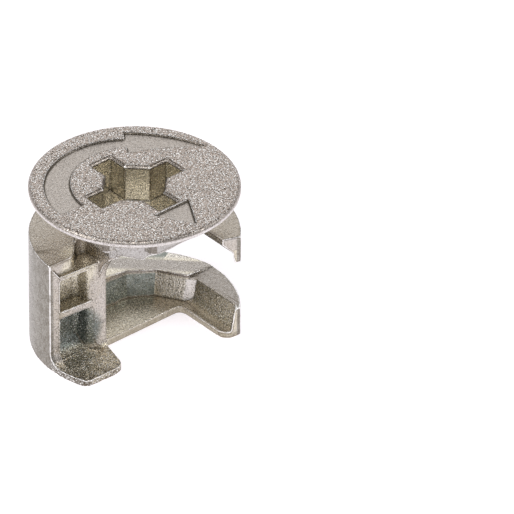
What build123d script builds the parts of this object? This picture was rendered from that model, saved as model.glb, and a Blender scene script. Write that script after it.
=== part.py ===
from build123d import *
from math import cos, radians, sin, tan
import os

# Cam lock nut, die cast in zinc as one piece. Millimetres. The origin is on the turning axis,
# at the bottom. +Z is up, and the bolt comes in from -Y.

# Overall sizes: the nut turns in a blind bore and its head closes the bore.
outer_diameter = 14.6
height = 12.5

# Head: a thin disc, rounded at its top edge and bevelled below.
head_thickness = 0.6
head_round = 0.28
head_bevel = 0.2

# Driver recess: a cross with flats between its arms.
recess_depth = 2.8
recess_arm_length = 3.57
recess_arm_width = 1.65
recess_flat_distance = 2.04
recess_rim_bevel = 0.15
recess_wall = 0.45

# Marks sunk into the head: a pointer to the mouth and a curved arrow for the way to turn.
mark_depth = 0.15
pointer_tip_inset = 0.8
pointer_length = 2.6
pointer_width = 3.05
arrow_inset = 1.0
arrow_band = 1.9
arrow_drift = 0.7
arrow_tail_angle = 177.5
arrow_neck_angle = 57.0
arrow_tip_angle = 2.0
arrow_barb = 0.8
arrow_tip_inset = 0.5

# Hub between the head and the jaws, with a boss round each arm of the recess.
hub_height = 3.35
hub_radius = 3.5
hub_sink = 0.1
hub_lift = 0.25
boss_corner = 0.35

# Bolt: its axis height, and the slot for its neck. In front of the die's parting line the slot
# is straight. Behind it, the floor of the slot steps up, and the slot widens with the draft.
bolt_axis_height = 4.4
neck_slot_height = 4.1
neck_clearance = 2.0
last_bolt_angle = 110.0
slot_parting = 0.2
slot_step = 0.22
slot_draft = 8.0
slot_draft_direction = 45.0

# Jaws: a floor and a roof, with a cam wall that winds inwards from the mouth. On the right the
# wall runs out into two arms, and closes each of them near its tip.
floor_thickness = 0.55
roof_thickness = 0.5
jaw_front = 0.05
jaw_corner_round = 0.5
cam_start_radius = 3.56
cam_rise = 1.53
cam_start_angle = 100.0
cam_end_angle = -3.0
cam_swell = 1.4
cam_facet_angles = (130.0, 94.0, 58.0, 30.7, 3.1)
cam_lean = 0.34
arm_wall_x = 5.4
arm_step = 0.5
arm_root_round = 0.7
arm_wall_length = 4.35
arm_tip_width = 0.85
floor_lip = 4.15
floor_arm_length = 4.8
floor_arm_round = 0.85
roof_lip = 3.92
roof_arm_length = 4.72
roof_arm_slant = 22.5
roof_web_start = 4.1

# Post on the left of the mouth, with the corbel that joins it to the hub and a flared foot.
post_right = -2.7
post_width = 1.35
post_front = -0.15
post_round = 0.65
post_flare = 0.3
post_flare_height = 0.8
corbel_drop = 1.4
corbel_round = 3.2
post_top_width = 0.6

# Column beside the post: a thin outer wall, two ribs and two open pockets that narrow inwards.
# The ledge over the upper rib runs in under the hub's boss.
column_wall = 0.72
column_front = 0.1
column_slant = 0.25
pocket_back = 1.15
pocket_narrowing = 0.55
pocket_round = 0.45
pocket_cove = 1.5
mid_rib_height = 4.3
mid_rib_thickness = 0.55
top_rib_thickness = 0.35
ledge_drop = 1.05
ledge_turn_x = -5.2
ledge_turn_round = 0.9
ledge_back = 1.5
ledge_round = 0.4
ledge_cove = 0.15

# Foot that steadies the nut in front of the column.
foot_thickness = 0.5
foot_length = 2.95
foot_inset = 0.75
foot_round = 0.8
foot_corner = 0.6
foot_cove = 0.9

outer_radius = outer_diameter / 2
head_bottom = height - head_thickness
recess_floor = height - recess_depth
boss_bottom = recess_floor - recess_wall
boss_reach = recess_arm_length + recess_wall
boss_width = recess_arm_width + 4 * recess_wall
roof_top = head_bottom - hub_height
roof_bottom = roof_top - roof_thickness
hub_bottom = roof_top - hub_sink
slot_low = bolt_axis_height - neck_slot_height / 2
slot_high = bolt_axis_height + neck_slot_height / 2
post_left = post_right - post_width
post_top_left = post_right - post_top_width
pocket_left = column_wall - outer_radius
plate_front = column_front + column_slant
ledge_height = roof_top - ledge_drop
beyond = 2 * outer_radius


def polar(radius, angle):
    return (radius * cos(radians(angle)), radius * sin(radians(angle)))


def cam_radius(angle):
    turned = max(0, cam_start_angle - angle) / (cam_start_angle - cam_end_angle)
    return cam_start_radius + cam_rise * turned**cam_swell


def hollow_outline(lean):
    """Corners of the hollow, seen from above, with its cam walls moved in by lean."""
    facets = [polar(cam_radius(angle) - lean, angle) for angle in cam_facet_angles]
    back = facets[0][1]
    wall = arm_wall_x - lean
    tip = wall - arm_tip_width
    return [
        (post_right, -beyond),
        (post_right, back - (facets[0][0] - post_right)),
        *facets,
        (wall, -arm_step / 2),
        (wall, -arm_wall_length),
        (tip, -arm_wall_length - arm_tip_width),
        (tip, -beyond),
    ]


# Hollow that takes the bolt's head: it narrows a little towards the floor and the roof, and a
# large round joins the wall of the right arm to both. A sloping web closes the upper arm's end.
with BuildPart() as hollow:
    for sections in (
        ((floor_thickness, cam_lean), (slot_low, 0)),
        ((slot_high, 0), (roof_bottom, cam_lean)),
    ):
        for level, lean in sections:
            with BuildSketch(Plane.XY.offset(level)):
                with BuildLine():
                    Polyline(*hollow_outline(lean), close=True)
                make_face()
        loft(ruled=True)
    with BuildSketch(Plane.XY.offset(slot_low)):
        with BuildLine():
            Polyline(*hollow_outline(0), close=True)
        make_face()
    extrude(amount=slot_high - slot_low)
    arm_roots = [
        edge
        for edge in hollow.edges().filter_by(Axis.Y)
        if edge.center().X > floor_lip and edge.length < beyond / 2
        and not slot_low <= edge.center().Z <= slot_high
    ]
    fillet(arm_roots, radius=arm_root_round)
    with BuildSketch(Plane.XZ.offset(roof_web_start)):
        with BuildLine():
            Polyline(
                (roof_lip, roof_bottom),
                (arm_wall_x, roof_bottom),
                (arm_wall_x, slot_high),
                close=True,
            )
        make_face()
    extrude(amount=beyond, mode=Mode.SUBTRACT)

# Mouth for the bolt, between the post and the right arms.
with BuildPart() as mouth:
    for lip, bottom, top in (
        (floor_lip, 0, bolt_axis_height),
        (roof_lip, bolt_axis_height, roof_top),
    ):
        with BuildSketch(Plane.XY.offset(bottom)) as mouth_plan:
            with Locations((post_right, jaw_front)):
                Rectangle(lip - post_right, beyond, align=(Align.MIN, Align.MAX))
            lip_corner = mouth_plan.vertices().group_by(Axis.Y)[-1].sort_by(Axis.X)[-1]
            fillet(lip_corner, radius=jaw_corner_round)
        extrude(amount=top - bottom)

# Slot for the bolt's neck. It ends where the neck stands when the nut is turned home.
with BuildPart() as neck_slot:
    pull_x, pull_y = polar(1, slot_draft_direction)
    half_height = neck_slot_height / 2
    widening = outer_radius * tan(radians(slot_draft))
    with BuildSketch(
        Plane(
            origin=(arm_wall_x, slot_parting, bolt_axis_height),
            x_dir=(pull_x, pull_y, 0),
            z_dir=(pull_y, -pull_x, 0),
        )
    ):
        with BuildLine():
            Polyline(
                (-outer_radius, slot_step + widening - half_height),
                (outer_radius, slot_step - widening - half_height),
                (outer_radius, half_height + widening),
                (-outer_radius, half_height - widening),
                close=True,
            )
        make_face()
    extrude(amount=beyond, both=True)
    with BuildSketch(Plane.XZ.offset(-slot_parting)):
        with Locations((0, bolt_axis_height)):
            Rectangle(4 * beyond, beyond)
    extrude(amount=2 * beyond, mode=Mode.SUBTRACT)
    with BuildSketch(Plane.XZ.offset(-slot_parting)):
        with Locations((0, bolt_axis_height)):
            Rectangle(2 * beyond, neck_slot_height)
    extrude(amount=beyond)
    home = Vector(*polar(1, last_bolt_angle))
    stop = Vector(*polar(neck_clearance, last_bolt_angle + 90))
    far = stop + home * beyond
    with BuildSketch():
        with BuildLine():
            Polyline(
                (stop.X, stop.Y),
                (far.X, far.Y),
                (beyond, beyond),
                (beyond, -beyond),
                (stop.X, -beyond),
                close=True,
            )
        make_face()
    extrude(amount=height, mode=Mode.INTERSECT)

# Open front of the column: all that stands before the thin wall, the ribs and the post, above
# the foot. The front of the wall leans outwards, and a cove joins it to the foot. The ribs run
# slantwise from the wall to the post.
wall_front = Plane(
    origin=(-outer_radius, plate_front, 0),
    x_dir=(column_slant, column_wall, 0),
    z_dir=(column_wall, -column_slant, 0),
)
with BuildPart() as column_open:
    with BuildSketch(wall_front):
        with BuildLine():
            front_edge = FilletPolyline(
                (-beyond, foot_thickness),
                (0, foot_thickness),
                (0, roof_top),
                radius=foot_cove,
            )
            Polyline(front_edge @ 1, (-beyond, roof_top), front_edge @ 0)
        make_face()
    extrude(amount=outer_radius / 2)
    with BuildSketch(Plane.XY.offset(foot_thickness)):
        with BuildLine():
            Polyline(
                (pocket_left, -beyond),
                (pocket_left, column_front),
                (post_top_left, post_front),
                (post_right, post_front),
                (post_right, -beyond),
                close=True,
            )
        make_face()
    extrude(amount=roof_top - foot_thickness)

# Pockets that keep the walls of the column even. The lower one runs out over the foot.
pocket_levels = (
    (foot_thickness, mid_rib_height - mid_rib_thickness / 2),
    (mid_rib_height + mid_rib_thickness / 2, ledge_height - top_rib_thickness),
)
with BuildPart() as pockets:
    for bottom, top in pocket_levels:
        with BuildSketch(Plane.XY.offset(bottom)):
            with BuildLine():
                pocket_edge = FilletPolyline(
                    (pocket_left, -foot_cove),
                    (pocket_left, column_front),
                    (pocket_left + pocket_narrowing, pocket_back),
                    (post_left - pocket_narrowing / 2, pocket_back),
                    (post_left, post_front),
                    (post_right, post_front),
                    radius=(pocket_round, pocket_round, pocket_round, post_round),
                )
                Polyline(pocket_edge @ 1, (post_right, -foot_cove), pocket_edge @ 0)
            make_face()
        extrude(amount=top - bottom)
    with BuildSketch(Plane.YZ.offset(-outer_radius)):
        with BuildLine():
            ramp_foot = (pocket_back - pocket_cove, foot_thickness)
            ramp_head = (pocket_back, foot_thickness + pocket_cove)
            RadiusArc(ramp_foot, ramp_head, -pocket_cove)
            Polyline(ramp_head, (pocket_back, foot_thickness), ramp_foot)
        make_face()
    extrude(amount=outer_radius + post_left, mode=Mode.SUBTRACT)

# Ledge over the upper rib. On the left it slopes up to the top of the outer wall.
with BuildPart() as ledge:
    with BuildSketch(Plane.XY.offset(ledge_height)):
        with BuildLine():
            ledge_edge = FilletPolyline(
                (-beyond, plate_front),
                (ledge_turn_x, plate_front),
                (ledge_turn_x + ledge_back - plate_front, ledge_back),
                (post_top_left, ledge_back),
                (post_top_left, -beyond),
                radius=(ledge_turn_round, ledge_round / 2, ledge_round),
            )
            Polyline(ledge_edge @ 1, (-beyond, -beyond), ledge_edge @ 0)
        make_face()
    extrude(amount=boss_bottom - ledge_height)
    fillet(ledge.faces().sort_by(Axis.Z)[0].edges(), radius=ledge_cove)
    rise = boss_bottom - ledge_height
    run = rise * column_wall / ledge_drop
    with BuildSketch(Plane.XZ.offset(-beyond)):
        with BuildLine():
            Polyline(
                (pocket_left, ledge_height),
                (beyond, ledge_height),
                (beyond, boss_bottom),
                (pocket_left - run, boss_bottom),
                close=True,
            )
        make_face()
    extrude(amount=2 * beyond, mode=Mode.INTERSECT)

# Hub with its bosses. Over the mouth its foot is lifted, up to the side of the front boss.
with BuildPart() as hub:
    with BuildSketch(Plane.XY.offset(roof_bottom)):
        Circle(hub_radius)
    extrude(amount=head_bottom - roof_bottom)
    with BuildSketch(Plane.XZ.offset(-jaw_front)):
        with BuildLine():
            arch = FilletPolyline(
                (beyond, hub_bottom + hub_lift),
                (hub_lift - boss_width / 2, hub_bottom + hub_lift),
                (-boss_width / 2, hub_bottom),
                (post_right, hub_bottom + hub_lift),
                (-beyond, hub_bottom + hub_lift),
                radius=hub_lift / 3,
            )
            Polyline(arch @ 1, (-beyond, roof_bottom), (beyond, roof_bottom), arch @ 0)
        make_face()
    extrude(amount=beyond, mode=Mode.SUBTRACT)
    with BuildSketch(Plane.XY.offset(boss_bottom)):
        RectangleRounded(2 * boss_reach, boss_width, boss_corner)
        RectangleRounded(boss_width, 2 * boss_reach, boss_corner)
    extrude(amount=head_bottom - boss_bottom)

# Curved corbel that carries the front of the post out to the hub.
with BuildPart() as corbel:
    with BuildSketch(Plane.YZ.offset(post_top_left)):
        with BuildLine():
            corbel_foot = (post_front, ledge_height - corbel_drop)
            corbel_head = (-boss_width / 2, hub_bottom)
            RadiusArc(corbel_foot, corbel_head, -corbel_round)
            Polyline(
                corbel_head,
                (-boss_width / 2, boss_bottom),
                (0, boss_bottom),
                (0, corbel_foot[1]),
                corbel_foot,
            )
        make_face()
    extrude(amount=post_top_width)
    with BuildSketch():
        Circle(hub_radius)
    extrude(amount=boss_bottom, mode=Mode.INTERSECT)

# Flare at the foot of the post.
with BuildPart() as flare:
    with BuildSketch(Plane.YZ.offset(post_left)):
        with BuildLine():
            Spline(
                (post_front, foot_thickness + post_flare_height),
                (post_front - post_flare, foot_thickness),
                tangents=((0, -1), (-1, -1)),
            )
            Polyline(
                (post_front - post_flare, foot_thickness),
                (jaw_front, foot_thickness),
                (jaw_front, foot_thickness + post_flare_height),
                (post_front, foot_thickness + post_flare_height),
            )
        make_face()
    extrude(amount=post_width)
    with BuildSketch():
        with BuildLine():
            Polyline(
                (post_left + post_round / 2, jaw_front),
                (post_left + post_round / 2, post_front),
                (post_right - post_width / 3, post_front - post_flare),
                (post_right, post_front - post_flare),
                (post_right, jaw_front),
                close=True,
            )
        make_face()
    extrude(amount=height, mode=Mode.INTERSECT)

with BuildPart() as cam_lock_nut:
    # Jaws and column start as one drum.
    with BuildSketch():
        Circle(outer_radius)
    extrude(amount=roof_top)
    add(hollow.part, mode=Mode.SUBTRACT)
    add(mouth.part, mode=Mode.SUBTRACT)
    add(column_open.part, mode=Mode.SUBTRACT)
    add(pockets.part, mode=Mode.SUBTRACT)

    # Post, carried up to the boss over it.
    with BuildSketch(Plane.XY.offset(roof_bottom)):
        with Locations((-boss_reach, post_front)):
            Rectangle(
                post_right + boss_reach, boss_width / 2 - post_front, align=Align.MIN
            )
    extrude(amount=boss_bottom - roof_bottom)
    add(hub.part)
    add(corbel.part)
    add(flare.part)
    add(ledge.part, mode=Mode.SUBTRACT)
    add(neck_slot.part, mode=Mode.SUBTRACT)

    # Ends of the right arms: the lower one is round, the upper one is cut off slantwise.
    with BuildSketch():
        with BuildLine():
            arm_end = FilletPolyline(
                (floor_lip, -floor_arm_length / 2),
                (floor_lip, -floor_arm_length),
                (beyond, -floor_arm_length),
                radius=floor_arm_round,
            )
            Polyline(
                arm_end @ 1, (beyond, -beyond), (0, -beyond), (0, -floor_arm_length / 2), arm_end @ 0
            )
        make_face()
    extrude(amount=bolt_axis_height, mode=Mode.SUBTRACT)
    slant = (outer_radius - roof_lip) * tan(radians(roof_arm_slant))
    with BuildSketch(Plane.XY.offset(bolt_axis_height)):
        with BuildLine():
            Polyline(
                (roof_lip, -roof_arm_length),
                (outer_radius, -roof_arm_length - slant),
                (outer_radius, -beyond),
                (roof_lip, -beyond),
                close=True,
            )
        make_face()
    extrude(amount=roof_top - bolt_axis_height, mode=Mode.SUBTRACT)

    # End of the foot.
    with BuildSketch():
        with BuildLine():
            foot_end = FilletPolyline(
                (post_right, jaw_front),
                (post_right - foot_inset, -foot_length),
                (-beyond, -foot_length),
                radius=foot_round,
            )
            Polyline(foot_end @ 1, (-beyond, -beyond), (post_right, -beyond), foot_end @ 0)
        make_face()
    extrude(amount=foot_thickness, mode=Mode.SUBTRACT)
    toe = cam_lock_nut.edges().filter_by(Axis.Z).sort_by_distance(
        (-outer_radius, -foot_length, foot_thickness / 2)
    )[0]
    fillet(toe, radius=foot_corner)

    # Head.
    with BuildSketch(Plane.XZ):
        with BuildLine():
            Polyline(
                (0, head_bottom),
                (outer_radius - head_bevel, head_bottom),
                (outer_radius, head_bottom + head_bevel),
                (outer_radius, height - head_round),
            )
            RadiusArc((outer_radius, height - head_round), (outer_radius - head_round, height),
                      -head_round)
            Polyline((outer_radius - head_round, height), (0, height), (0, head_bottom))
        make_face()
    revolve(axis=Axis.Z)

    # Driver recess with its bevelled rim.
    with BuildSketch(Plane.XY.offset(recess_floor)) as recess_plan:
        Rectangle(2 * recess_arm_length, recess_arm_width)
        Rectangle(recess_arm_width, 2 * recess_arm_length)
        Rectangle(2 * recess_flat_distance, 2 * recess_flat_distance, rotation=45)
    extrude(amount=recess_depth, mode=Mode.SUBTRACT)
    rim = cam_lock_nut.faces().sort_by(Axis.Z)[-1].inner_wires()[0].edges()
    chamfer(rim, length=recess_rim_bevel)

    # Pointer and arrow.
    pointer_tip = -outer_radius + pointer_tip_inset
    arrow_outer = outer_radius - arrow_inset
    arrow_inner = arrow_outer - arrow_band
    neck_outer = arrow_outer - arrow_drift
    arrow_middle = (arrow_tail_angle + arrow_neck_angle) / 2
    point_middle = (arrow_neck_angle + arrow_tip_angle) / 2
    with BuildSketch(Plane.XY.offset(height - mark_depth)):
        with BuildLine():
            Polyline(
                (0, pointer_tip),
                (pointer_width / 2, pointer_tip + pointer_length),
                (-pointer_width / 2, pointer_tip + pointer_length),
                close=True,
            )
        make_face()
        with BuildLine():
            ThreePointArc(
                polar(arrow_outer, arrow_tail_angle),
                polar(arrow_outer - arrow_drift / 3, arrow_middle),
                polar(neck_outer, arrow_neck_angle),
            )
            Line(
                polar(neck_outer, arrow_neck_angle),
                polar(neck_outer + arrow_barb, arrow_neck_angle),
            )
            ThreePointArc(
                polar(neck_outer + arrow_barb, arrow_neck_angle),
                polar(neck_outer + arrow_barb - 0.1, point_middle),
                polar(outer_radius - arrow_tip_inset, arrow_tip_angle),
            )
            ThreePointArc(
                polar(outer_radius - arrow_tip_inset, arrow_tip_angle),
                polar(arrow_inner + 0.1, point_middle + 3),
                polar(arrow_inner - arrow_barb + 0.2, arrow_neck_angle),
            )
            Line(
                polar(arrow_inner - arrow_barb + 0.2, arrow_neck_angle),
                polar(arrow_inner + 0.2, arrow_neck_angle),
            )
            ThreePointArc(
                polar(arrow_inner + 0.2, arrow_neck_angle),
                polar(arrow_inner + 0.05, arrow_middle),
                polar(arrow_inner, arrow_tail_angle),
            )
            Line(polar(arrow_inner, arrow_tail_angle), polar(arrow_outer, arrow_tail_angle))
        make_face()
    extrude(amount=mark_depth, mode=Mode.SUBTRACT)

cam_lock_nut.part.label = "cam_lock_nut"
os.makedirs("parts", exist_ok=True)
export_step(cam_lock_nut.part, "parts/cam_lock_nut.step")
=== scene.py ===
from math import cos, radians, sin

import bpy
import numpy as np
from mathutils import Matrix, Vector
from mathutils.kdtree import KDTree


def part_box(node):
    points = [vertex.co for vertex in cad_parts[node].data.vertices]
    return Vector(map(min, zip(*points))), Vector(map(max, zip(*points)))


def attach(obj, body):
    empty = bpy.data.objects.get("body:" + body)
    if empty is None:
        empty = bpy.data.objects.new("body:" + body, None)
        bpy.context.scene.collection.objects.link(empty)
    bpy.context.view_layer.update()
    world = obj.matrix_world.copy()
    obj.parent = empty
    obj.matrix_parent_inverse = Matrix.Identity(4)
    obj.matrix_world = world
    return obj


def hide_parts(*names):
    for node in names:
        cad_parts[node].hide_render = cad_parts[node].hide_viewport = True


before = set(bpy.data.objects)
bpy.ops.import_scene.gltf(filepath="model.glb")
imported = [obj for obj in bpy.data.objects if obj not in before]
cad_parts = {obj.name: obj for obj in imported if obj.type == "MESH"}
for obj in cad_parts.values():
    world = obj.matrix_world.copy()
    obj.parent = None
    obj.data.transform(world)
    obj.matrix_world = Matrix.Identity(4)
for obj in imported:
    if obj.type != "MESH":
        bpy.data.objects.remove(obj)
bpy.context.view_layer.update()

# Camera. A long lens looks down on the nut from the left of its mouth. It is aimed beside the
# nut, so that the nut stands in the left half of the picture.
camera_azimuth = radians(-40)
camera_elevation = radians(34.11)
camera_roll = radians(0.45)
camera_distance = 0.592
camera_lens = 603.5
nut_middle = Vector((0, 0, 0.00625))
aim_right = 0.0084
aim_up = 0.0001


def direction(azimuth, elevation):
    """Points from the nut to a place round it. Azimuth nought is in front of the mouth."""
    return Vector((
        sin(azimuth) * cos(elevation),
        -cos(azimuth) * cos(elevation),
        sin(elevation),
    ))


back = direction(camera_azimuth, camera_elevation)
right = Vector((0, 0, 1)).cross(back).normalized()
up = back.cross(right)
lens = bpy.data.cameras.new("camera")
lens.lens = camera_lens
camera = bpy.data.objects.new("camera", lens)
camera.location = nut_middle + back * camera_distance
aim = nut_middle + right * aim_right + up * aim_up
look = (aim - camera.location).to_track_quat("-Z", "Y").to_matrix().to_4x4()
camera.matrix_world = (
    Matrix.Translation(camera.location) @ look @ Matrix.Rotation(camera_roll, 4, "Z")
)
bpy.context.scene.collection.objects.link(camera)
bpy.context.scene.camera = camera

# Nut body: one zinc die casting, tumbled and nickel plated. The die leaves its edges a little
# round; along them the plate is bright with wear and painted highlight, and the inner corners
# get painted shade. The sizes written here are in millimetres.
millimetre = 0.001
lowest, highest = (np.array(corner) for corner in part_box("cam_lock_nut"))

foot_top = 0.5
floor_top = 0.55
jaw_top = 2.35
pocket_top = 7.15
ledge_top = 7.5
roof_top = 8.55
head_bottom = 11.9
mark_floor = 12.35
head_top = highest[2] / millimetre
outer_radius = highest[0] / millimetre
column_inside = 6.58
post_left = -4.05
post_right = -2.7
arm_begins = 3.6
arm_step_reach = 0.35
cam_begins = radians(135)
cam_ends = radians(30.7)
cam_edge = radians(0.6)
# Centre of the painted light on the ledge under the head.
ledge_light_spot = (-4.9, 0.6, 7.2)
# Centre of the painted shade in the lower pocket.
pocket_shade_spot = (-5.0, 0.8, 2.2)
soft_edge = 0.1

seam_gap = 0.0001
scan_step = 0.05
rounding_passes = 3
rounding_pull = 0.5
bend_passes = 4
kept_share = 0.18

# An even skin is drawn over the casting, so that its edges can be rounded. How far each point
# stands out of that skin is kept as edge_bend, and then the flats lose most of their faces.
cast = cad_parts["cam_lock_nut"]
nut = bpy.data.objects.new("nut_casting", cast.data.copy())
bpy.context.scene.collection.objects.link(nut)
nut.data.transform(Matrix.Scale(1 / millimetre, 4))


def settle(piece):
    """Gives the piece the mesh that its modifiers make."""
    shaped = bpy.data.meshes.new_from_object(
        piece.evaluated_get(bpy.context.evaluated_depsgraph_get())
    )
    piece.modifiers.clear()
    piece.data = shaped


weld = nut.modifiers.new("close seams", "WELD")
weld.merge_threshold = seam_gap
remesh = nut.modifiers.new("even skin", "REMESH")
remesh.mode = "VOXEL"
remesh.voxel_size = scan_step
rounding = nut.modifiers.new("cast edges", "SMOOTH")
rounding.iterations = rounding_passes
rounding.factor = rounding_pull
settle(nut)


def rows(items, field, width, kind=float):
    """One row of numbers for each item of a mesh."""
    values = np.empty(len(items) * width, kind)
    items.foreach_get(field, values)
    return values.reshape(-1, width)


def bend_of_skin(mesh):
    """How far each point stands out of its neighbours, in scan steps: edges are positive."""
    places = rows(mesh.vertices, "co", 3)
    facing = rows(mesh.vertices, "normal", 3)
    one, other = rows(mesh.edges, "vertices", 2, int).T
    count = len(places)
    neighbours = np.bincount(one, minlength=count) + np.bincount(other, minlength=count)

    def mean_of_neighbours(values):
        total = np.bincount(one, values[other], count) + np.bincount(other, values[one], count)
        return total / neighbours

    middle = np.stack([mean_of_neighbours(places[:, axis]) for axis in range(3)], axis=1)
    bend = ((places - middle) * facing).sum(axis=1) / scan_step
    for _ in range(bend_passes):
        bend = (bend + mean_of_neighbours(bend)) / 2
    return places, bend


places, bend = bend_of_skin(nut.data)
fine_points = KDTree(len(places))
for index, spot in enumerate(places):
    fine_points.insert(spot, index)
fine_points.balance()

lighten = nut.modifiers.new("fewer faces on the flats", "DECIMATE")
lighten.ratio = kept_share
lighten.use_collapse_triangulate = True
settle(nut)


def bend_at(spot):
    """The bend of the fine skin at its point nearest to the spot."""
    _, index, _ = fine_points.find(spot)
    return bend[index]


edge_bend = nut.data.attributes.new("edge_bend", "FLOAT", "POINT")
edge_bend.data.foreach_set("value", [bend_at(vertex.co) for vertex in nut.data.vertices])

nut.data.transform(Matrix.Scale(millimetre, 4))
inside_box = np.clip(rows(nut.data.vertices, "co", 3), lowest, highest)
nut.data.vertices.foreach_set("co", inside_box.ravel())
for face in nut.data.polygons:
    face.use_smooth = True

# Nickel plate. Its zones follow the casting: a point lies across to the right, along to the back
# and level above the bottom.
plate = bpy.data.materials.new("nickel plate")
plate.use_nodes = True
tree = plate.node_tree
shader = tree.nodes["Principled BSDF"]
shader.inputs["Metallic"].default_value = 1.0


def node(kind, **settings):
    """Adds a node to the tree that is being made."""
    made = tree.nodes.new(kind)
    for name, value in settings.items():
        setattr(made, name, value)
    return made


def joined(value, socket):
    """Sets a socket to a number or a colour, or links another node's result to it."""
    if isinstance(value, bpy.types.NodeSocket):
        tree.links.new(value, socket)
    else:
        socket.default_value = value


def reckoned(operation, first, *others):
    """One number from several, taken two at a time from the left."""
    result = first
    for other in others:
        made = node("ShaderNodeMath", operation=operation)
        joined(result, made.inputs[0])
        joined(other, made.inputs[1])
        result = made.outputs["Value"]
    return result


def times(*values):
    return reckoned("MULTIPLY", *values)


def plus(*values):
    return reckoned("ADD", *values)


def minus(*values):
    return reckoned("SUBTRACT", *values)


def largest(*values):
    return reckoned("MAXIMUM", *values)


def ramped(value, low, high, from_value=0.0, to_value=1.0):
    """Goes softly from one value to the other between low and high, and is level past them."""
    made = node("ShaderNodeMapRange", interpolation_type="SMOOTHSTEP")
    for number, socket in zip((value, low, high, from_value, to_value), made.inputs):
        joined(number, socket)
    return made.outputs["Result"]


def over(value, edge, fade=soft_edge):
    """Nought up to the edge, and one from a fade above it."""
    return ramped(value, edge, edge + fade)


def under(value, edge, fade=soft_edge):
    """Nought down to the edge, and one from a fade below it."""
    return ramped(value, edge, edge - fade)


def mixed(share, one, other):
    """One colour where the share is nought, and the other where it is one."""
    made = node("ShaderNodeMix", data_type="RGBA")
    joined(share, made.inputs["Factor"])
    first, second = (socket for socket in made.inputs if socket.type == "RGBA")
    joined(one, first)
    joined(other, second)
    return next(socket for socket in made.outputs if socket.type == "RGBA")


def coated(colour, coats):
    """The colour with each coat laid over it in turn, as far as the coat's share goes."""
    for share, tone in coats:
        colour = mixed(share, colour, tone)
    return colour


def measured(operation, one, other):
    """One number from two places, such as the distance between them."""
    made = node("ShaderNodeVectorMath", operation=operation)
    joined(one, made.inputs[0])
    joined(other, made.inputs[1])
    return made.outputs["Value"]


enlarge = node("ShaderNodeVectorMath", operation="SCALE")
enlarge.inputs["Scale"].default_value = 1 / millimetre
joined(node("ShaderNodeTexCoord").outputs["Object"], enlarge.inputs[0])
place = enlarge.outputs["Vector"]
split = node("ShaderNodeSeparateXYZ")
joined(place, split.inputs["Vector"])
across, along, level = split.outputs
bent = node("ShaderNodeAttribute", attribute_name="edge_bend").outputs["Fac"]


def speckle(size, detail, roughness):
    """Noise whose grains are about as many millimetres across."""
    made = node("ShaderNodeTexNoise")
    joined(place, made.inputs["Vector"])
    made.inputs["Scale"].default_value = 1 / size
    made.inputs["Detail"].default_value = detail
    made.inputs["Roughness"].default_value = roughness
    return made.outputs["Fac"]


def dots(spacing, radius):
    """Small round spots, about as many millimetres apart and across."""
    made = node("ShaderNodeTexVoronoi")
    joined(place, made.inputs["Vector"])
    made.inputs["Scale"].default_value = 1 / spacing
    share = radius / spacing
    return under(made.outputs["Distance"], share, 0.4 * share)


def near(spot, reach, fade):
    """One within reach of a spot, and nought from a fade beyond it."""
    return under(measured("DISTANCE", place, spot), reach + fade, fade)


# Where a point lies round the axis, and which way its wall faces. The bearing of an upright wall
# is its distance from the axis, and is less than nought where the wall faces the axis.
flat = node("ShaderNodeCombineXYZ")
joined(across, flat.inputs["X"])
joined(along, flat.inputs["Y"])
spoke = flat.outputs["Vector"]
from_axis = measured("DISTANCE", spoke, (0, 0, 0))
turn = reckoned("ARCTAN2", along, across)
bearing = measured("DOT_PRODUCT", node("ShaderNodeNewGeometry").outputs["Normal"], spoke)
faces_out = over(bearing, 1.2, 0.8)
faces_in = minus(1.0, faces_out)

# The zones of the nut, from the top down.
on_face = over(level, head_top - 0.09, 0.06)
in_marks = over(level, mark_floor - 0.1, 0.05)
on_rim = times(over(level, head_bottom - 0.2), over(from_axis, outer_radius - 0.4, 0.15))
over_roof = over(level, roof_top + 0.15, 0.2)
on_hub = times(over(level, roof_top - 0.25, 0.2), faces_out)
on_roof = times(over(level, roof_top - 0.25), under(level, roof_top + 0.2), faces_in)
on_drum = times(over(from_axis, outer_radius - 0.3), under(level, roof_top + 0.15), faces_out)
# Painted light: the ledge under the head is painted lighter where the head shades it.
ledge_light_zone = near(ledge_light_spot, reach=1.2, fade=0.6)
on_column = times(
    under(across, post_right + 0.2, 0.2),
    under(level, ledge_top + 0.4, 0.2),
    faces_in,
)
in_pockets = times(
    under(across, post_left + 0.35, 0.2),
    over(along, 0.0, 0.15),
    under(from_axis, column_inside + 0.12),
    under(level, pocket_top - 0.15),
)
# Painted shade: the depth of the lower pocket, which is painted dark teal.
pocket_shade_zone = times(
    near(pocket_shade_spot, reach=1.6, fade=0.8),
    over(level, floor_top + 0.05, 0.5),
    under(from_axis, column_inside + 0.12),
)
between_jaws = times(over(across, post_right - 0.1, 0.2), under(level, ledge_top + 0.1, 0.2))
on_jaw = times(over(level, jaw_top - 0.07, 0.05), under(level, jaw_top + 0.25), faces_in)
on_cam = times(
    over(turn, cam_ends, cam_edge),
    under(turn, cam_begins + cam_edge, cam_edge),
    under(level, jaw_top, 0.15),
    over(level, floor_top + 0.01, 0.14),
    faces_in,
)
arm_cover = 0.8
on_arm = times(
    under(turn, cam_ends + cam_edge, cam_edge),
    over(across, arm_begins, 0.2),
    under(level, jaw_top - 0.05),
    over(level, floor_top + 0.03, 0.12),
    faces_in,
    arm_cover,
)
on_arm_root = times(on_arm, over(along, 0.0, 0.2))
on_arm_step = times(on_arm, over(along, -arm_step_reach), under(along, arm_step_reach))
on_arm_end = times(on_arm, under(along, -0.2, 0.2))
on_floor = times(between_jaws, under(level, floor_top + 0.07, 0.06))
back_of_floor = times(on_floor, over(along, -1.5, 4.5))
front_of_floor = times(on_floor, under(along, 0.0, 3.0))
left_of_mouth = under(across, post_right + 0.3, 0.5)
on_foot_top = times(under(level, foot_top + 0.3, 0.2), left_of_mouth)
column_front = times(left_of_mouth, under(along, 0.35, 0.15))
below_floor = under(level, floor_top - 0.07, 0.08)
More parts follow.
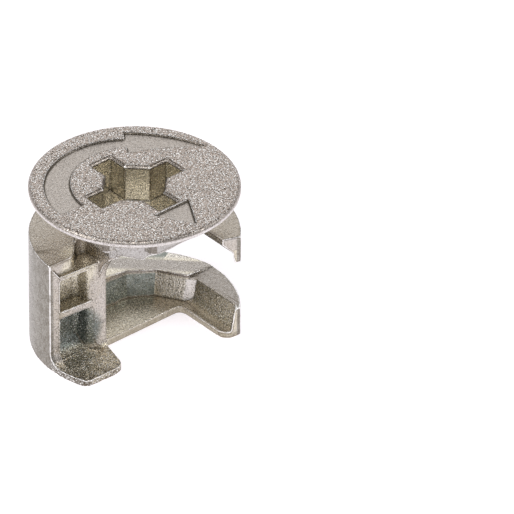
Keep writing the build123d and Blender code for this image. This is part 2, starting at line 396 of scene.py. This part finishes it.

# The plate has crystals, painted white as glints, and dark pits. They are thick on the face of
# the head, the wall of the right arm and the foot, fewer on the column and in its pockets, and
# thin elsewhere.
grain = speckle(size=0.12, detail=2.0, roughness=0.6)
coarse = speckle(size=0.6, detail=4.0, roughness=0.55)
blotch = speckle(size=3.0, detail=3.0, roughness=0.5)
crystals = largest(dots(spacing=0.17, radius=0.072), over(grain, 0.58, 0.08))
pits = largest(dots(spacing=0.20, radius=0.065), under(grain, 0.41, 0.08))
column_grain = 0.4
pocket_grain = 0.6
least_grain = 0.25
foot_sparkle = times(
    column_front,
    ramped(level, foot_top + 0.4, foot_top - 0.05, column_grain, 1.0),
)
grainy = largest(
    on_face,
    minus(on_arm, on_arm_step),
    foot_sparkle,
    times(in_pockets, pocket_grain),
    least_grain,
)

# The plating is straw coloured between the jaws and in the recess, grey on the hub, and dull
# where the drum rubs in its bore. The cam wall and the deep lower pocket are painted dark teal
# as painted shade.
warm_nickel = (0.62, 0.565, 0.50, 1)
pale_nickel = (0.67, 0.62, 0.58, 1)
jaw_straw = (0.76, 0.70, 0.575, 1)
bright_straw = (0.98, 0.92, 0.80, 1)
grey_straw = (0.66, 0.61, 0.51, 1)
foot_straw = (0.92, 0.83, 0.66, 1)
# The ledge's own straw tone, made lighter as painted light.
ledge_straw_and_light = (0.86, 0.80, 0.66, 1)
recess_straw = (0.87, 0.82, 0.71, 1)
pocket_olive = (0.58, 0.53, 0.42, 1)
arm_olive = (0.58, 0.53, 0.41, 1)
floor_olive = (0.48, 0.435, 0.335, 1)
arm_ivory = (1.0, 0.96, 0.88, 1)
step_silver = (0.80, 0.77, 0.76, 1)
rim_silver = (0.84, 0.795, 0.785, 1)
hub_grey = (0.56, 0.54, 0.53, 1)
mark_grey = (0.52, 0.47, 0.43, 1)
face_grey = (0.54, 0.46, 0.41, 1)
roof_grey = (0.47, 0.42, 0.36, 1)
jaw_grey = (0.38, 0.345, 0.315, 1)
rubbed_dark = (0.25, 0.23, 0.195, 1)
rubbed_light = (0.35, 0.33, 0.295, 1)
# Painted shade: dark teal tones for the cam wall and the depth of the lower pocket.
teal_shade_dark = (0.20, 0.23, 0.21, 1)
teal_shade_light = (0.29, 0.32, 0.29, 1)
teal_shade_deepest = (0.13, 0.16, 0.155, 1)
grain_shade = (0.30, 0.26, 0.21, 1)
pocket_shade_cover = 0.5
shade_cover = 0.25

plating = coated(mixed(over(blotch, 0.35, 0.3), warm_nickel, pale_nickel), (
    (between_jaws, jaw_straw),
    (back_of_floor, bright_straw),
    (front_of_floor, grey_straw),
    (on_foot_top, foot_straw),
    (in_pockets, pocket_olive),
    (on_arm_root, arm_ivory),
    (on_arm_end, arm_olive),
    (on_arm_step, step_silver),
    (below_floor, floor_olive),
    (over_roof, recess_straw),
    (on_hub, hub_grey),
    (on_rim, rim_silver),
    (in_marks, mark_grey),
    (on_face, face_grey),
    (on_roof, roof_grey),
    (on_drum, mixed(over(coarse, 0.38, 0.24), rubbed_dark, rubbed_light)),
    (on_jaw, jaw_grey),
    # Painted light: the ledge's straw tone is lifted where the head shades it.
    (ledge_light_zone, ledge_straw_and_light),
    # Painted shade: the cam wall and the lower pocket are painted dark teal, darkest deep in the
    # pocket.
    (largest(on_cam, pocket_shade_zone), mixed(over(coarse, 0.4, 0.2), teal_shade_dark, teal_shade_light)),
    (times(pocket_shade_zone, pocket_shade_cover), teal_shade_deepest),
    (times(under(grain, 0.65, 0.3), shade_cover), grain_shade),
))

# Edges are bright in places, as wear and painted highlight, with a painted shade line beside
# them.
# Inner corners get painted shade, the pits hold dark residue, and crystals are painted white as
# glints, whitest on the face and the foot.
# The corner and edge-line browns are painted shade, the crystal and worn whites are partly
# painted glint and highlight, and the pit brown is residue.
pit_brown = (0.10, 0.075, 0.05, 1)
corner_painted_shade = (0.11, 0.09, 0.06, 1)
edge_line_shade = (0.12, 0.09, 0.055, 1)
crystal_glint_white = (1.0, 0.98, 0.96, 1)
worn_and_highlight_white = (1.0, 0.98, 0.97, 1)
pit_cover = 0.9
corner_shade_cover = 0.8
edge_line_shade_cover = 0.65
wear_and_highlight_cover = 0.95
shaded_corners = under(bent, -0.02, 0.06)
# The edges: polished smoother, and painted bright as wear and painted highlight.
on_edges = times(over(bent, 0.035, 0.035), ramped(coarse, 0.36, 0.56, 0.35, 1.0))
# Painted shade: a thin dark line beside the bright edges.
shade_beside_edges = times(over(bent, 0.012, 0.012), under(bent, 0.045, 0.015), minus(1.0, on_rim))
# Where the painted glints of the crystals are whitest.
whitest_glints = ramped(largest(on_face, foot_sparkle), 0.3, 1.0, 0.6, 1.0)
skin_colour = coated(plating, (
    (times(pits, grainy, pit_cover), pit_brown),
    # Crystals: grain, painted white as glints, whitest on the face and the foot.
    (times(crystals, grainy), mixed(whitest_glints, plating, crystal_glint_white)),
    # Painted shade in the inner corners.
    (times(shaded_corners, corner_shade_cover), corner_painted_shade),
    # Painted shade: the dark line beside the edges.
    (times(shade_beside_edges, edge_line_shade_cover), edge_line_shade),
    # Partly wear and partly painted highlight: a bright white line along the edges.
    (times(on_edges, wear_and_highlight_cover), worn_and_highlight_white),
))
joined(skin_colour, shader.inputs["Base Color"])

satin = 0.31
bright = 0.21
worn_polish = 0.1
roughness = minus(ramped(grain, 0.25, 0.75, satin, bright), times(on_edges, worn_polish))
joined(roughness, shader.inputs["Roughness"])

# Relief of the plate, in millimetres: crystals stand up, pits go down, and the cast skin is a
# little wavy, most of all on the column.
speck_height = 0.02
grain_height = 0.04
smooth_height = 0.01
wave_height = 0.012
column_wave_height = 0.03
relief = plus(
    times(grain, plus(times(grainy, grain_height), smooth_height)),
    times(coarse, plus(times(on_column, column_wave_height), wave_height)),
    times(minus(crystals, pits), grainy, speck_height),
)
bump = node("ShaderNodeBump")
bump.inputs["Strength"].default_value = 1.0
bump.inputs["Distance"].default_value = millimetre
joined(relief, bump.inputs["Height"])
joined(bump.outputs["Normal"], shader.inputs["Normal"])

nut.data.materials.clear()
nut.data.materials.append(plate)
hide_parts("cam_lock_nut")
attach(nut, "root")

# Floor: a plain white sheet of card, large enough to fill the picture from any side. It shows
# white to the camera and pale in the metal, and keeps the nut's soft shadow.
floor_width = 1.2
card_white = (0.82, 0.82, 0.82, 1)
card_tint = (1.0, 0.95, 1.0, 1)
seen_by_camera = 0.67
seen_in_metal = 0.52

bpy.ops.mesh.primitive_plane_add(size=floor_width)
floor = bpy.context.object
floor.name = "floor"
card = bpy.data.materials.new("white card")
card.use_nodes = True
tree = card.node_tree
card_shader = tree.nodes["Principled BSDF"]
card_shader.inputs["Base Color"].default_value = card_white
card_shader.inputs["Roughness"].default_value = 1.0
card_shader.inputs["Specular IOR Level"].default_value = 0.0
card_shader.inputs["Emission Color"].default_value = card_tint
rays = node("ShaderNodeLightPath").outputs
card_glow = largest(
    times(rays["Is Camera Ray"], seen_by_camera),
    times(rays["Is Glossy Ray"], seen_in_metal),
)
joined(card_glow, card_shader.inputs["Emission Strength"])
floor.data.materials.append(card)

# Light: a pale grey room, darker overhead, and five soft boxes: a large one and a low strip
# behind the nut, and smaller ones to its left, to its right and high over its front.
wall_glow = 0.40
ceiling_glow = 0.14
ceiling_starts = 0.35
ceiling_full = 0.95

room = bpy.data.worlds.new("room")
bpy.context.scene.world = room
room.use_nodes = True
tree = room.node_tree
sky = tree.nodes["Background"]
sky.inputs["Color"].default_value = (1, 1, 1, 1)
upward = node("ShaderNodeSeparateXYZ")
joined(node("ShaderNodeTexCoord").outputs["Generated"], upward.inputs["Vector"])
room_glow = ramped(upward.outputs["Z"], ceiling_starts, ceiling_full, wall_glow, ceiling_glow)
seen_white = node("ShaderNodeLightPath").outputs["Is Camera Ray"]
joined(largest(room_glow, seen_white), sky.inputs["Strength"])


def soft_box(name, azimuth, elevation, distance, size, watts):
    """A square lamp that faces the nut, given by where it stands round it, in degrees."""
    lamp = bpy.data.lights.new(name, "AREA")
    lamp.size = size
    lamp.energy = watts
    holder = bpy.data.objects.new(name, lamp)
    holder.location = nut_middle + distance * direction(radians(azimuth), radians(elevation))
    holder.rotation_euler = (nut_middle - holder.location).to_track_quat("-Z", "Y").to_euler()
    bpy.context.scene.collection.objects.link(holder)


soft_box("back box", azimuth=140, elevation=33, distance=0.6, size=0.50, watts=0.58)
soft_box("low back strip", azimuth=140, elevation=4, distance=0.7, size=0.08, watts=0.06)
soft_box("left box", azimuth=-104, elevation=34, distance=0.5, size=0.20, watts=0.65)
soft_box("front box", azimuth=-40, elevation=56, distance=0.5, size=0.20, watts=0.5)
soft_box("right box", azimuth=48, elevation=34, distance=0.5, size=0.14, watts=0.3)

bpy.context.scene.view_settings.view_transform = "Standard"
